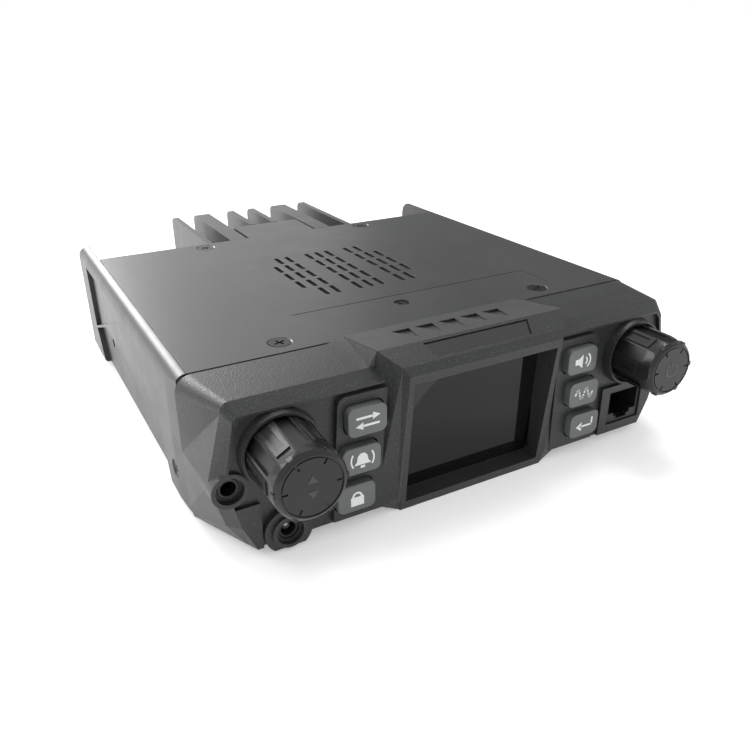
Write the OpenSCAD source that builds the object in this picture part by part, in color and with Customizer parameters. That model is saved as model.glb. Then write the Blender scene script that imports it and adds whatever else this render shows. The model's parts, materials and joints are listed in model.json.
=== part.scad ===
// Compact mobile transceiver: cast chassis with rear heat-sink fins, slotted cover, moulded front panel
// with a hooded display, two knobs, six keys and three front sockets, and the boards, speaker and fan inside.
// X is the width, Y runs from the front panel to the fins, Z is up. In the design values below, Y is counted
// from the seam between the front panel and the cover and Z from the underside of the chassis.

/* [Overall] */
// Width over the chassis side walls
body_w = 140; // [128:1:168]
// Height of the chassis with its cover
body_h = 38; // [37:1:46]
// Length of the cover, from the panel seam to its rear edge
cover_l = 104; // [100:1:126]
// Length of the fins behind the cover
fin_l = 48; // [40:1:58]
// Length of the side walls behind the cover
tail_l = 23; // [16:1:32]

/* [Casting] */
// Thickness of the chassis side walls
wall_t = 3.5; // [3:0.1:4.5]
// Thickness of the chassis floor
floor_t = 3; // [2.5:0.1:4]
// Thickness of the chassis rear wall
rear_t = 3.5; // [3:0.1:5]
// Height of the rounding along the top of the side walls
edge_r = 4.2; // [2.5:0.1:4.5]
// Thickness of the thin fins
fin_t = 2.2; // [1.8:0.1:3]
// Thickness of the two thick fins
thick_fin_t = 6; // [5:0.2:7]
// Distance of the thick fins' inner faces from the middle
thick_fin_x = 14; // [13.4:0.2:15]
// Distance of the outer thin fins from the middle
outer_fin_x = 28; // [26:0.5:31]
// Distance of the inner thin fins from the middle
inner_fin_x = 4.5; // [3.5:0.25:6]
// Depth of the bracket pocket in the side walls
pocket_d = 1.8; // [0.6:0.1:2]

/* [Cover] */
// Thickness of the cover sheet
cover_t = 1.6; // [1.2:0.1:2.2]
// Half width of the tongue that covers the fan
tongue_w = 13; // [12.5:0.1:13.4]
// Length of the tongue behind the cover's rear edge
tongue_l = 18; // [15:0.5:22]
// Middle of the sound slots, from the seam
vent_y = 53.3; // [48:0.1:58]
// Distance between slot rows
vent_row = 8.65; // [8:0.05:9.2]
// Distance between the slot columns of one group
vent_col = 3.7; // [3.2:0.1:4]
// Distance between the slot groups
vent_group = 14.7; // [13:0.1:15.4]
// Width of a sound slot
slot_w = 1.5; // [1.2:0.1:2.4]
// Length of a sound slot
slot_l = 6.9; // [5:0.1:7.6]

/* [Front panel] */
// Depth of the front panel from the seam to its rim
rim_d = 18; // [17:0.25:20]
// Depth of the sloped band from the rim to the front edge
band_d = 3.2; // [2.6:0.1:4]
// How far the control face is sunk behind the front edge
face_sink = 1; // [0.6:0.1:1.4]
// Thickness of the panel behind the control face
face_t = 2; // [1.6:0.1:2.4]
// Width of the band of controls on each side of the hood
side_zone = 47.5; // [46.5:0.25:49]
// Height of the hood's crest above the cover
crest_h = 4.2; // [3:0.1:5]
// Drop of the hood's chin below the chassis
chin_h = 2; // [1:0.1:2.4]
// How far the hood's top edge stands in front of the panel rim
hood_d = 8; // [7:0.25:9.5]

/* [Controls] */
// Distance of the knob axes from the outer side
knob_in = 17; // [16.5:0.1:18]
// Distance of the knob axes below the top
knob_drop = 12.8; // [12.4:0.1:13.4]
// Radius of the channel knob
channel_knob_r = 8.3; // [7:0.1:8.5]
// Radius of the power knob
power_knob_r = 7.8; // [7:0.1:8.5]
// Length of the channel knob
channel_knob_l = 17.2; // [13:0.1:19]
// Length of the power knob
power_knob_l = 14.4; // [12:0.1:17]
// Radius of the knob shafts
shaft_r = 3; // [2.5:0.1:3.2]
// Running clearance of the shafts, on the radius
shaft_gap = 0.05; // [0.03:0.01:0.1]
// Clearance between the larger knob and its collar
collar_gap = 0.5; // [0.5:0.05:0.7]
// Width of a key
key_w = 10; // [9:0.1:10.6]
// Gap between the keys of a column
key_space = 2.8; // [2.4:0.1:4]
// Height of the key tops over the control face
key_out = 3.7; // [2.4:0.1:4.2]
// Travel of a key
key_travel = 0.8; // [0.4:0.05:0.9]
// Clearance around a key
key_gap = 0.35; // [0.3:0.05:0.5]
// Travel of the power knob
push_travel = 0.6; // [0.3:0.05:0.8]

/* [Sockets and screws] */
// Bore radius of the 3.5 mm jacks
jack_r = 1.8; // [1.75:0.01:1.9]
// Radius of the aerial connector's thread
aerial_r = 7.94; // [7.94:0.01:7.94]
// Distance between the two bracket holes of a side
bracket_pitch = 60; // [50:1:64]
// Radius of the bracket holes
bracket_r = 1.65; // [1.65:0.05:2.5]
// Height of the bracket holes over the underside
bracket_z = 12.2; // [11:0.1:13]
// Distance of the front bracket hole from the seam
bracket_y = 31.8; // [30:0.1:34]

/* [Fan and speaker] */
// Side of the square fan
fan_w = 25; // [24:0.5:25.5]
// Depth of the fan
fan_d = 10; // [8:0.5:11]
// Radius of the speaker
speaker_r = 22.5; // [18:0.5:24]

/* [Hidden] */

fit = 0.3;                       // gap between fixed neighbours
tiny = 0.01;
half_w = body_w / 2;
front_d = rim_d + band_d;        // seam to the panel's front edge
face_d = front_d - face_sink;    // seam to the control face
back_d = face_d - face_t;        // seam to the back of the control face
seam_gap = 0.8;                  // visible joint between the panel and the cover
inner_x = half_w - wall_t;       // inside of the side walls
hood_w = half_w - side_zone;     // half width of the hood's front
knob_x = half_w - knob_in;
knob_z = body_h - knob_drop;
knob_back = face_d + push_travel + 0.4;
knob_front = knob_back + max(channel_knob_l, power_knob_l);
collar_h = 2.6;
front_y = -knob_front;
rear_y = cover_l + fin_l;
mid_y = (front_y + rear_y) / 2;
grey = [0.30, 0.31, 0.31];
dark = [0.16, 0.165, 0.17];
black = [0.05, 0.05, 0.05];
steel = [0.72, 0.72, 0.72];
gold = [0.85, 0.68, 0.30];
green = [0.10, 0.33, 0.20];
key_grey = [0.42, 0.45, 0.45];

// Puts a piece drawn in the design values into the part's frame: the middle of the box, on its lowest plane.
module place() {
    translate([0, -mid_y, chin_h]) children();
}

// Copies a piece to the other side of the middle plane.
module both_sides() {
    for (side = [0, 1]) mirror([side, 0, 0]) children();
}

// Corner of an outline: points on an arc.
function arc(x, y, r, from, to, n = 6) =
    [for (i = [0:n]) let (a = from + (to - from) * i / n) [x + r * cos(a), y + r * sin(a)]];

// Rounded corner of an outline, from an upright side at x0, z0 to a level top at x1, z1.
function corner(x0, z0, x1, z1, n = 8) =
    [for (i = [0:n]) let (a = 90 * i / n) [x1 + (x0 - x1) * cos(a), z0 + (z1 - z0) * sin(a)]];

// Outline of a rectangle with rounded corners.
function round_rect(x0, x1, y0, y1, r, n = 5) = concat(
    arc(x1 - r, y1 - r, r, 0, 90, n), arc(x0 + r, y1 - r, r, 90, 180, n),
    arc(x0 + r, y0 + r, r, 180, 270, n), arc(x1 - r, y0 + r, r, 270, 360, n));

// Extrusion of an outline in X and Z, from the depth y0 back to y1.
module slab_y(points, y0, y1) {
    translate([0, y1, 0]) rotate([90, 0, 0]) linear_extrude(y1 - y0) polygon(points);
}

// Extrusion of an outline in Y and Z, from x0 to x1.
module slab_x(points, x0, x1) {
    translate([x0, 0, 0]) rotate([90, 0, 90]) linear_extrude(x1 - x0) polygon(points);
}

// Round bar along Y.
module bar_y(x, z, r, y0, y1, fn = 48) {
    translate([x, y1, z]) rotate([90, 0, 0]) cylinder(r = r, h = y1 - y0, $fn = fn);
}

// Block between two corners.
module block(low, high) {
    translate(low) cube(high - low);
}

// Closed skin through sections that all have the same number of points.
module loft(sections) {
    n = len(sections[0]);
    last = len(sections) - 1;
    points = [for (s = sections) for (p = s) p];
    first_cap = [[for (i = [0:n - 1]) i]];
    last_cap = [[for (i = [n - 1:-1:0]) last * n + i]];
    sides = [for (k = [0:last - 1]) for (i = [0:n - 1]) let (a = k * n + i, b = k * n + (i + 1) % n)
        each [[a, a + n, b], [b, a + n, b + n]]];
    polyhedron(points = points, faces = concat(first_cap, sides, last_cap), convexity = 6);
}

// Section in a plane y, from the right half of its outline.
function mirrored(half, y) = concat(
    [for (p = half) [p[0], y, p[1]]],
    [for (i = [len(half) - 1:-1:0]) [-half[i][0], y, half[i][1]]]);

// ---- Chassis ----

// Side wall seen from the front, with its rounded outer edge.
function wall_outline() = concat([[inner_x, 0], [half_w - 0.6, 0], [half_w, 0.6]],
    corner(half_w, body_h - edge_r, half_w - min(edge_r, wall_t - 0.1), body_h, 8), [[inner_x, body_h]]);

// Side wall seen from the side, with a rounded rear corner.
function wall_side() = concat([[0, 0], [cover_l + tail_l, 0]],
    arc(cover_l + tail_l - 5, body_h - 5, 5, 0, 90, 8), [[0, body_h]]);

// Fin seen from the side.
function fin_side(start) = concat([[start, 0], [rear_y - 1, 0], [rear_y, 1]],
    arc(rear_y - 3, body_h - 3, 3, 0, 90, 6), [[start, body_h]]);

pocket_top = 18.8;
scoop = [[cover_l - 45, 31], [cover_l + 9, 11.6], [cover_l + 10, 33], [cover_l - 40, 33.2]];
scoop_slope = 0.026;             // how fast the shallow hollow behind the pocket deepens
pocket_outline = [[16, -1], [18, 4.5], [20.5, 12], [23.5, 17.4], [28, pocket_top],
    [cover_l - 14, pocket_top], [cover_l + 8.5, 11], [cover_l + 1, -1]];

module side_wall() {
    difference() {
        intersection() {
            slab_y(wall_outline(), 0, cover_l + tail_l);
            slab_x(wall_side(), inner_x - 1, half_w + 1);
        }
        slab_x(pocket_outline, half_w - pocket_d, half_w + 1);
        loft([[for (p = scoop) [half_w - scoop_slope * (p[0] - scoop[0][0]) - 0.05, p[0], p[1]]],
            [for (p = scoop) [half_w + 1, p[0], p[1]]]]);
        // Front edge bevelled in towards the panel.
        translate([0, 0, -1]) linear_extrude(body_h + 2)
            polygon([[half_w, 8], [half_w + 2, 8], [half_w + 2, -1], [half_w - 1.1, -1]]);
        // Clearance and countersink for the side screw.
        translate([half_w + tiny, side_screw_y, side_screw_z]) rotate([0, -90, 0]) {
            cylinder(r = side_screw_r + 0.2, h = wall_t + 1, $fn = 32);
            cylinder(r1 = 2.8, r2 = 1.6, h = 1.7, $fn = 40);
        }
    }
}

side_screw_y = 9.6;
side_screw_z = 8.3;
side_screw_r = 1.25;
screw_core = 1.0;                // radius of the hole that a screw cuts its thread in
cover_screw_r = 1.25;
cover_screw_x = 41;
cover_screw_y = 6.3;
cover_rear_x = 31;
cover_rear_y = cover_l - 4.6;
centre_screw_y = 15.8;
boss_top = body_h - cover_t - 0.05;
ledge_w = 3.2;

// Places of the four cover screws.
function cover_screw_places() = [for (s = [-1, 1]) each
    [[s * cover_screw_x, cover_screw_y], [s * cover_rear_x, cover_rear_y]]];

board_z = floor_t + 4;
board_t = 1.6;
board_x = inner_x - 4;
board_y0 = 19;
board_y1 = cover_l - rear_t - 6;

// Places of the six main board screws.
function board_screw_places() = [for (s = [-1, 1]) for (k = [0:2])
    [s * (board_x - 4), board_y0 + 4 + k * (board_y1 - board_y0 - 8) / 2]];

pedestal_w = 27;
pedestal_y0 = cover_l - rear_t - 21;
pedestal_y1 = cover_l - rear_t - 9;
pedestal_z = board_z + 0.6;
bay_x = (outer_fin_x + inner_x) / 2;
connector_z = 17;
fan_z = floor_t + 2 + fan_w / 2;
fan_y0 = cover_l + 0.4;
fan_bore = fan_w / 2 - 0.9;
fan_hole = fan_w / 2 - 2.5;
aerial_shank_r = 6.3;
inlet_w = 15;
inlet_h = 9;
speaker_jack_x = bay_x + 11;
speaker_jack_z = connector_z + 12;
speaker_jack_r = 3;

module chassis() color(grey) place() {
    difference() {
        union() {
            both_sides() side_wall();
            block([-inner_x - 1, 0, 0], [inner_x + 1, cover_l, floor_t]);
            // Rear wall under the cover.
            block([-inner_x - 1, cover_l - rear_t, 0], [inner_x + 1, cover_l, boss_top]);
            // Ledges that carry the cover along the side walls.
            both_sides() block([inner_x - ledge_w, 24, boss_top - 2], [inner_x + 1, cover_l, boss_top]);
            // Floor of the heat sink.
            block([-outer_fin_x - fin_t / 2, cover_l - 1, 0], [outer_fin_x + fin_t / 2, rear_y - 3, floor_t]);
            both_sides() {
                slab_x(fin_side(cover_l - 0.5), outer_fin_x - fin_t / 2, outer_fin_x + fin_t / 2);
                slab_x(fin_side(cover_l - 0.5), thick_fin_x, thick_fin_x + thick_fin_t);
                slab_x(fin_side(cover_l + tongue_l + 0.6), inner_fin_x - fin_t / 2, inner_fin_x + fin_t / 2);
                // Bosses behind the bracket holes.
                for (k = [0, 1]) translate([inner_x - 3, bracket_y + k * bracket_pitch, bracket_z])
                    rotate([0, 90, 0]) cylinder(r = 4.2, h = 4, $fn = 40);
            }
            for (p = cover_screw_places()) translate([p[0], p[1], floor_t - 1])
                cylinder(r = 3.4, h = boss_top - floor_t + 1, $fn = 40);
            translate([0, centre_screw_y, floor_t - 1]) cylinder(r = 2.6, h = boss_top - floor_t + 1, $fn = 40);
            for (p = board_screw_places()) translate([p[0], p[1], floor_t - 1])
                cylinder(r = 3, h = board_z - floor_t + 1, $fn = 32);
            // Pedestal that takes the heat of the output transistors.
            block([-pedestal_w, pedestal_y0, floor_t - 1], [pedestal_w, pedestal_y1, pedestal_z]);
        }
        both_sides() for (k = [0, 1]) translate([inner_x - 4, bracket_y + k * bracket_pitch, bracket_z])
            rotate([0, 90, 0]) cylinder(r = bracket_r, h = wall_t + 6, $fn = 40);
        block([-inner_x, -1, boss_top], [inner_x, cover_l + 0.15, body_h + 1]);
        for (p = cover_screw_places()) translate([p[0], p[1], body_h - 14])
            cylinder(r = screw_core, h = 14, $fn = 24);
        translate([0, centre_screw_y, body_h - 14]) cylinder(r = screw_core, h = 14, $fn = 24);
        for (p = board_screw_places()) translate([p[0], p[1], floor_t - 1.5])
            cylinder(r = screw_core, h = board_z, $fn = 24);
        // Air opening and screw holes of the fan, and the holes of the two rear connectors.
        bar_y(0, fan_z, fan_bore, cover_l - rear_t - 1, cover_l + 1, 64);
        for (sx = [-1, 1]) for (sz = [-1, 1])
            bar_y(sx * fan_hole, fan_z + sz * fan_hole, screw_core, cover_l - rear_t - 1, cover_l + 1, 24);
        bar_y(bay_x, connector_z, aerial_shank_r + 0.2, cover_l - rear_t - 1, cover_l + 1, 48);
        block([-bay_x - inlet_w / 2 - 0.2, cover_l - rear_t - 1, connector_z - inlet_h / 2 - 0.2],
            [-bay_x + inlet_w / 2 + 0.2, cover_l + 1, connector_z + inlet_h / 2 + 0.2]);
        bar_y(-speaker_jack_x, speaker_jack_z, speaker_jack_r + 0.1, cover_l - rear_t - 1, cover_l + 1, 40);
    }
}

// ---- Cover ----

// Outline of the cover with its rear tongue, seen from above.
cover_x = inner_x - 0.12;
cover_outline = [[-cover_x, 0], [cover_x, 0], [cover_x, cover_l], [tongue_w, cover_l],
    [tongue_w, cover_l + tongue_l - 1], [tongue_w - 1, cover_l + tongue_l],
    [-tongue_w + 1, cover_l + tongue_l], [-tongue_w, cover_l + tongue_l - 1], [-tongue_w, cover_l],
    [-cover_x, cover_l]];
head_r = 2.9;

// Slots of the sound opening: three groups of three columns, five rows, without the four outer corners.
module sound_slots() {
    for (group = [-1:1]) for (col = [-1:1]) for (row = [-2:2]) {
        corner = (group * col == 1) && (abs(row) == 2);
        if (!corner) translate([group * vent_group + col * vent_col, vent_y + row * vent_row])
            polygon(round_rect(-slot_w / 2, slot_w / 2, -slot_l / 2, slot_l / 2, slot_w / 2 - 0.02, 4));
    }
}

module top_cover() color(grey) place() {
    difference() {
        translate([0, 0, body_h - cover_t]) linear_extrude(cover_t) difference() {
            polygon(cover_outline);
            sound_slots();
        }
        for (p = cover_screw_places()) translate([p[0], p[1], body_h - cover_t - 1]) {
            cylinder(r = cover_screw_r + 0.15, h = cover_t + 2, $fn = 32);
            translate([0, 0, cover_t - 0.3]) cylinder(r1 = cover_screw_r + 0.3, r2 = head_r + 0.35, h = 1.31, $fn = 40);
        }
        translate([0, centre_screw_y, body_h - cover_t - 1]) {
            cylinder(r = 1.1, h = cover_t + 2, $fn = 32);
            translate([0, 0, cover_t + 1 - 0.9]) cylinder(r = 2.2, h = 1, $fn = 32);
        }
        // Shallow stamped line of the label panel.
        for (line = [[[-31, 21.7], [48, 22.1]], [[47.6, 9.5], [48, 22.1]]])
            block([line[0][0], line[0][1], body_h - 0.25], [line[1][0], line[1][1], body_h + 1]);
    }
}

// Countersunk screw with a cross recess, head up, top of the head at the origin.
module flat_screw(head, shank, length) {
    difference() {
        union() {
            translate([0, 0, -1.2]) cylinder(r1 = shank, r2 = head, h = 1.2, $fn = 40);
            translate([0, 0, -length]) cylinder(r = shank, h = length - 0.6, $fn = 32);
        }
        for (a = [0, 90]) rotate([0, 0, a + 20]) block([-head * 0.55, -0.28, -0.8], [head * 0.55, 0.28, 1]);
    }
}

module cover_screws() color(dark) place() {
    for (p = cover_screw_places()) translate([p[0], p[1], body_h - 0.05])
        flat_screw(head_r, screw_core - tiny, 9);
}

module cover_centre_screw() color(steel) place() {
    translate([0, centre_screw_y, body_h - 0.25]) difference() {
        union() {
            translate([0, 0, -0.6]) cylinder(r = 1.8, h = 0.6, $fn = 32);
            translate([0, 0, -8]) cylinder(r = screw_core - tiny, h = 7.6, $fn = 32);
        }
        for (a = [0, 90]) rotate([0, 0, a]) block([-1.1, -0.22, -0.4], [1.1, 0.22, 1]);
    }
}

module side_screws() color(dark) place() {
    both_sides() translate([half_w - 0.35, side_screw_y, side_screw_z]) rotate([0, 90, 0])
        flat_screw(2.5, screw_core - tiny, 8);
}

// ---- Front panel ----

// Right half of the panel's outline at the seam, the rim and the front edge.
seam_half = concat([[half_w - 0.8, 0], [half_w - 0.1, 3], [half_w - 0.1, 18.8]],
    corner(half_w - 0.2, body_h - 4.2, half_w - 4.4, body_h));
rim_half = concat([[half_w - 8.6, 0], [half_w - 4, 7], [half_w - 0.7, 18.8]],
    corner(half_w - 5.2, body_h - 2.6, half_w - 7.4, body_h));
front_half = concat([[half_w - 9.8, 0.3], [half_w - 6.6, 7.4], [half_w - 3.7, 20]],
    corner(half_w - 6.6, body_h - 4.8, half_w - 8.2, body_h - 2.5));
// Right half of the hollow behind them.
hollow_seam = [[half_w - 4, 2.2], [half_w - 3, 5], [half_w - 3, 18.8], [half_w - 3.2, body_h - 6.4],
    [half_w - 4.4, body_h - 3.6], [half_w - 7, body_h - 2.2]];
hollow_front = [[half_w - 13, 2.2], [half_w - 9.5, 6.6], [half_w - 5.8, 18.8], [half_w - 9, body_h - 6.6],
    [half_w - 9.6, body_h - 5], [half_w - 11, body_h - 4]];

recess_top = body_h - 3.1;
data_x = half_w - 4.8;
data_z = 17.9;
data_wall_r = 4.3;
earphone_x = half_w - 17.5;
earphone_z = 3.4;
earphone_boss_r = 6;
mic_x = half_w - 16.5;
mic_w = 11.9;
mic_low = 3.3;
mic_high = 13.2;
mic_block_x = half_w - 25.7;
crest_d = rim_d + 1.1;
hood_front = rim_d + hood_d;
chin_d = rim_d + 3.5;
frame_border = 1.3;

// Depth of the hood's leaning front at a height.
function lip_d(z) = chin_d + (hood_front - chin_d) * (z + chin_h) / (body_h - 0.9 + chin_h);

// Points of a section through the hood: top corner, wing and chin of each side.
function hood_section(top, wing, chin) = [[chin[0], -chin[1], chin[2]], [wing[0], -wing[1], wing[2]],
    [top[0], -top[1], top[2]], [-top[0], -top[1], top[2]], [-wing[0], -wing[1], wing[2]],
    [-chin[0], -chin[1], chin[2]]];

hood_sections = [
    hood_section([hood_w + 4.4, seam_gap, body_h + 1.2], [hood_w + 7.2, seam_gap, 3],
        [hood_w + 1.5, seam_gap, 0.2]),
    hood_section([hood_w + 4.9, crest_d, body_h + crest_h], [hood_w + 6.9, rim_d + 2.8, 1.4],
        [hood_w + 0.2, rim_d + 2.8, -chin_h]),
    hood_section([hood_w + 1.2, hood_front - 1.5, body_h + 1.1], [hood_w + 1, rim_d + 4.2, 2.4],
        [hood_w, rim_d + 3.3, -chin_h]),
    hood_section([hood_w, hood_front, body_h - 0.9], [hood_w, lip_d(3), 3], [hood_w, chin_d, -chin_h])];

// Wedge beside the hood's ramp.
module hood_cheek() {
    loft([
        [[hood_w + 3, -seam_gap, body_h - 1], [hood_w + 9.7, -seam_gap, body_h - 0.1],
            [hood_w + 4.4, -seam_gap, body_h + 1.15]],
        [[hood_w + 3, 0.1 - crest_d, body_h - 1], [hood_w + 6.4, 0.1 - rim_d, body_h - 0.1],
            [hood_w + 4.85, 0.1 - crest_d, body_h + crest_h - 0.1]]]);
}

window_x = hood_w - frame_border;
window_low = -0.4;
window_high = body_h - 2.8;
lens_d = 17;                     // seam to the face of the display window, at the underside's level
lens_lean = 0.07;                // how far its face leans forward with the height
lens_low = 1.2;
lens_high = body_h - 4.8;
function lens_y(z) = -lens_d - lens_lean * z;

// Well from the hood's frame back to the display window.
module window_well() {
    function ring(x, y0, y1, low, high) = [[x, y0, low], [x, y1, high], [-x, y1, high], [-x, y0, low]];
    loft([ring(window_x - 0.5, lens_y(lens_low) + 0.2, lens_y(lens_high) + 0.2, lens_low, lens_high),
        ring(window_x + 0.2, -hood_front - 3, -hood_front - 3, window_low - 0.6, window_high + 0.5)]);
}

// Key columns: each row stands a little further out than the one above it.
keys_bottom = 4.2;               // level of the lowest key's lower edge
keys_top = body_h - 6.5;         // level of the highest key's upper edge
key_h = (keys_top - keys_bottom - 2 * key_space) / 3;
key_pitch = key_h + key_space;
key_x0 = hood_w + 10;
key_lean = 1.6;
function key_x(row) = key_x0 + row * key_lean;
function key_z(row) = keys_bottom + key_h / 2 + (2 - row) * key_pitch;

// Outline of a key, grown by a margin.
module key_outline(row, grow) {
    polygon(round_rect(key_x(row) - key_w / 2 - grow, key_x(row) + key_w / 2 + grow,
        key_z(row) - key_h / 2 - grow, key_z(row) + key_h / 2 + grow, 1.7 + grow, 5));
}

// Raised surround of a key column.
module key_surround() {
    top = body_h - 4;
    left = hood_w + 3;
    right = key_x0 + key_w / 2 + 1.6;
    slab_y(concat([[left, 1.2], [right + 2, 1.2]], arc(right - 2.2, top - 2.2, 2.2, 0, 90, 6), [[left, top]]),
        -face_d - 1.6, -face_d + 0.5);
}

// Sunken control face, left and right of the hood, seen from the front.
function recess_outline() = [[-half_w + 11.3, -1], [mic_block_x, -1], [mic_block_x, 15.2],
    [half_w - 5.2, 15.2], [half_w - 4.4, 20.5], [half_w - 7.4, body_h - 4.8], [half_w - 8.8, recess_top],
    [-half_w + 8.8, recess_top], [-half_w + 7.4, body_h - 4.8], [-half_w + 4.4, 20.5],
    [-half_w + 5.4, 12.6], [-half_w + 11.3, 12.6]];

collar_bore = max(channel_knob_r, power_knob_r) + collar_gap;
collar_outer = collar_bore + 0.7;

// Ring around a knob.
module knob_collar() {
    translate([knob_x, 0.2 - face_d, knob_z]) rotate([90, 0, 0])
        cylinder(r1 = collar_outer + 0.3, r2 = collar_outer - 0.1, h = collar_h + 0.2, $fn = 72);
}

// Solid outside of the panel, before the hollows are cut.
module panel_outside() {
    difference() {
        loft([mirrored(seam_half, -seam_gap), mirrored(rim_half, -rim_d), mirrored(front_half, -front_d)]);
        slab_y(recess_outline(), -front_d - 1, -face_d);
    }
    loft(hood_sections);
    both_sides() hood_cheek();
    both_sides() key_surround();
    both_sides() knob_collar();
    bar_y(-data_x, data_z, data_wall_r, -front_d, 1 - rim_d, 40);
    // Boss of the lower jack, with a step and a flat under it.
    intersection() {
        union() {
            bar_y(-earphone_x, earphone_z, earphone_boss_r, -face_d - 1.6, 1 - rim_d, 48);
            bar_y(-earphone_x, earphone_z, earphone_boss_r - 1.7, -face_d - 2.4, 1 - rim_d, 48);
        }
        block([-half_w, -front_d - 5, -1.2], [0, 0, body_h]);
    }
}

// Triangular grip notches on the hood's ramp.
module grip_notches() {
    slope = atan((crest_h - 1.2) / (crest_d - seam_gap));
    count = 5;
    pitch = 6.9;
    for (i = [0:count - 1]) translate([(i - (count - 1) / 2) * pitch, -seam_gap, body_h + 1.2])
        rotate([-slope, 0, 0]) translate([0, 0, -0.7]) linear_extrude(2)
            polygon([[-2.6, -5.6], [2.6, -5.6], [0, -14.6]]);
}

inlay_slope = atan((crest_h - 1.1) / (hood_front - 1.5 - crest_d));
inlay_back = 0.8;
inlay_len = 4.6;
inlay_half = hood_w - 7;
inlay_sink = 0.7;

// Local frame of the sloped top of the hood: -Y runs down the slope, Z stands out of it.
module on_slope() {
    translate([0, -crest_d, body_h + crest_h]) rotate([inlay_slope, 0, 0]) children();
}

// Tapered recess of the inlay, and the inlay itself when it is shrunk.
module inlay_shape(shrink, low, high) {
    translate([0, 0, low]) linear_extrude(high - low) polygon([
        [-inlay_half + shrink, -inlay_back - shrink], [-inlay_half + 1.6 + shrink, -inlay_back - inlay_len + shrink],
        [inlay_half - 1.6 - shrink, -inlay_back - inlay_len + shrink], [inlay_half - shrink, -inlay_back - shrink]]);
}

ear_x = inner_x - fit;
ear_l = 14;

module front_panel() color(dark) place() {
    difference() {
        union() {
            difference() {
                panel_outside();
                loft([mirrored(hollow_seam, 1), mirrored(hollow_front, -back_d)]);
            }
            // Lip that closes the seam under the cover and inside the side walls, on two webs.
            for (z = [1.5, body_h - cover_t - fit - 1.4])
                block([-inner_x + 6, -control_d + fit, z], [inner_x - 6, -seam_gap, z + 2.6]);
            difference() {
                block([-inner_x + fit, -5, floor_t + fit], [inner_x - fit, 3, body_h - cover_t - fit]);
                block([-inner_x + fit + 1.4, -6, floor_t + fit + 1.4], [inner_x - fit - 1.4, 4, body_h - cover_t - fit - 1.4]);
                block([-control_x - 0.2, -6, 0], [control_x + 0.2, -control_d + fit, body_h]);
                both_sides() translate([cover_screw_x, cover_screw_y, 0]) cylinder(r = 3.7, h = body_h, $fn = 40);
            }
            // Ears for the side screws.
            both_sides() block([ear_x - 3.4, -3, side_screw_z - 3.5], [ear_x, ear_l, side_screw_z + 3.5]);
            // Walls around the display, in front of the control board.
            difference() {
                block([-hood_w - 1, -back_d - 0.5, 0.4], [hood_w + 1, -control_d - 2.4, body_h - 2.6]);
                block([-hood_w + 0.6, -back_d - 1, display_low], [hood_w - 0.6, 0, display_high]);
            }
            // Posts for the control board screws.
            for (p = control_screw_places()) bar_y(p[0], p[1], 2.2, -back_d - 0.5, -control_front - 0.05, 32);
        }
        window_well();
        // Seat of the display window behind the hood's frame.
        slab_x([[lens_y(display_low), display_low], [-control_d - 1, display_low], [-control_d - 1, display_high],
            [lens_y(display_high), display_high]], -window_x - 0.3, window_x + 0.3);
        for (row = [0:2]) both_sides() translate([0, -back_d + 1, 0]) rotate([90, 0, 0])
            linear_extrude(6) key_outline(row, key_gap);
        both_sides() {
            bar_y(knob_x, knob_z, bush_r + 0.25, -face_d - 1, -back_d + 1, 40);
            bar_y(knob_x, knob_z, collar_bore, -face_d - 6, -face_d, 72);
            translate([ear_x + 1, side_screw_y, side_screw_z]) rotate([0, -90, 0])
                cylinder(r = screw_core, h = 6, $fn = 24);
        }
        // Sockets.
        bar_y(-data_x, data_z, jack_body_r + 0.1, -front_d - 1, jack_l - face_d + 0.8, 40);
        bar_y(-data_x, data_z, 3.3, -front_d - 1, -face_d + 0.6, 40);
        bar_y(-earphone_x, earphone_z, jack_body_r + 0.1, -face_d - 3, jack_l - face_d, 40);
        bar_y(-earphone_x, earphone_z, 3.4, -face_d - 3, -face_d - 1.2, 40);
        block([mic_x - mic_w / 2 - 0.4, -front_d - 1, mic_low - 0.4], [mic_x + mic_w / 2 + 0.4, -control_front - 0.5, mic_high + 0.4]);
        grip_notches();
        on_slope() inlay_shape(0, -inlay_sink, 2);
        for (p = control_screw_places()) bar_y(p[0], p[1], screw_core, -back_d + 0.6, 0, 24);
    }
}

module hood_inlay() color(black) place() {
    on_slope() inlay_shape(0.12, -inlay_sink, 0.2 - inlay_sink + 0.15);
}

// ---- Display and control board ----

control_d = 4.6;                 // seam to the back of the control board
control_t = 1.6;
control_front = control_d + control_t;
control_low = 3.4;
control_high = body_h - 3.6;
control_x = half_w - 10.5;
display_low = 0.6;
display_high = body_h - 4.2;
window_t = 1.6;
glass_y = window_t - lens_d + 0.1;
frame_low = 1.2;
frame_high = body_h - 6;

// Places of the control board screws, in X and Z.
function control_screw_places() = [for (s = [-1, 1]) each
    [[s * (key_x(0) + key_w / 2 + 6.5), control_high - 2.6], [s * (half_w - 13.4), control_low + 12.9]]];

module display_window() color(black) place() {
    low = display_low + 0.1;
    high = display_high - 0.1;
    slab_x([[lens_y(low), low], [lens_y(low) + window_t, low], [lens_y(high) + window_t, high], [lens_y(high), high]],
        -window_x, window_x);
}

module lcd_glass() color([0.18, 0.2, 0.18]) place() {
    block([-window_x + 0.8, glass_y, frame_low + 0.8], [window_x - 0.8, glass_y + 2.2, frame_high - 0.8]);
}

module lcd_frame() color(steel) place() {
    difference() {
        block([-window_x, glass_y, frame_low], [window_x, -control_front - 2.6, frame_high]);
        block([-window_x + 0.5, glass_y - 1, frame_low + 0.5], [window_x - 0.5, 1, frame_high - 0.5]);
    }
}

module backlight() color("white") place() {
    block([-window_x + 0.8, glass_y + 2.3, frame_low + 0.8], [window_x - 0.8, -control_front - 2.6, frame_high - 0.8]);
}

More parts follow.
